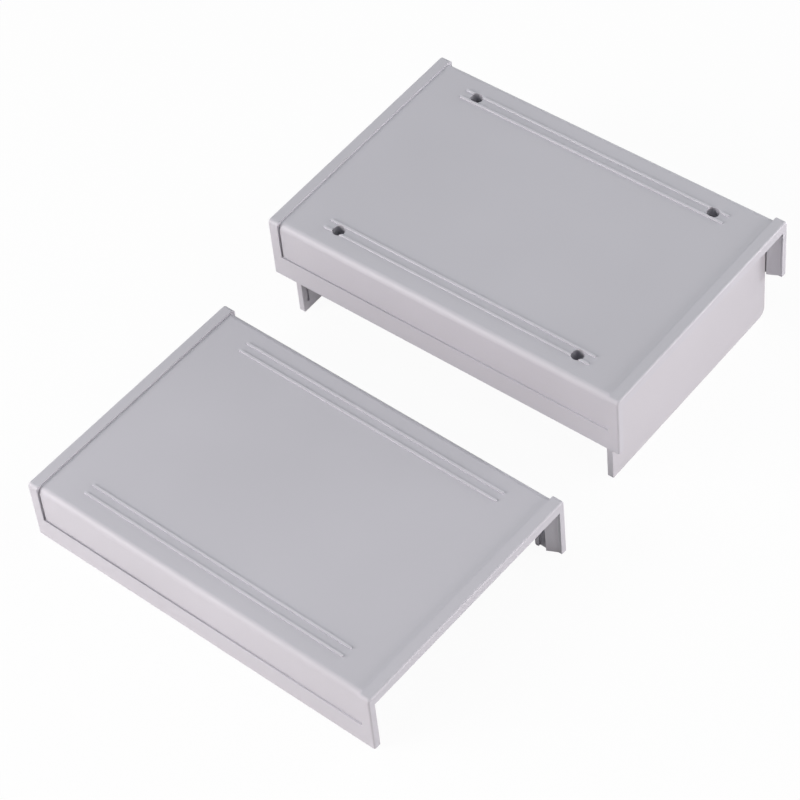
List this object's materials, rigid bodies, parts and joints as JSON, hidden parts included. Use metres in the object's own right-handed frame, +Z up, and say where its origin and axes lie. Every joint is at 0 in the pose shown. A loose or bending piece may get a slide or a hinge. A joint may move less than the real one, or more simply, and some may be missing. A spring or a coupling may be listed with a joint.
{
  "type": "plastic project box",
  "caption": "Open plastic enclosure taken apart: bored base shell standing on its slide-in end panels, plain cover shell beside it.",
  "frame": {"origin": "on the table, under the middle of the whole layout: base half behind, cover shell in front", "axes": "+X along the box's length, +Y from the cover shell towards the base shell, +Z up from the table; the base shell is upside down, its underside facing +Z"},
  "size_m": [0.1532, 0.231, 0.0466],
  "materials": {
    "base_plastic": "fine satin moulded surface",
    "cover_plastic": "fine satin moulded surface",
    "panel_plastic": "smooth matt moulded sheet",
    "screw_steel": "zinc plated"
  },
  "bodies": {
    "on_table": {"cover_shell": "cover_plastic", "left_end_panel": "panel_plastic", "right_end_panel": "panel_plastic"},
    "base_half": {"base_shell": "base_plastic", "case_screw_front_left": "screw_steel", "case_screw_front_right": "screw_steel", "case_screw_back_left": "screw_steel", "case_screw_back_right": "screw_steel"}
  },
  "joints": [
    {"name": "base_lift", "type": "slide", "parent": "on_table", "child": "base_half", "axis": [0, 0, 1], "range_m": [0, 0.02085]}
  ]
}
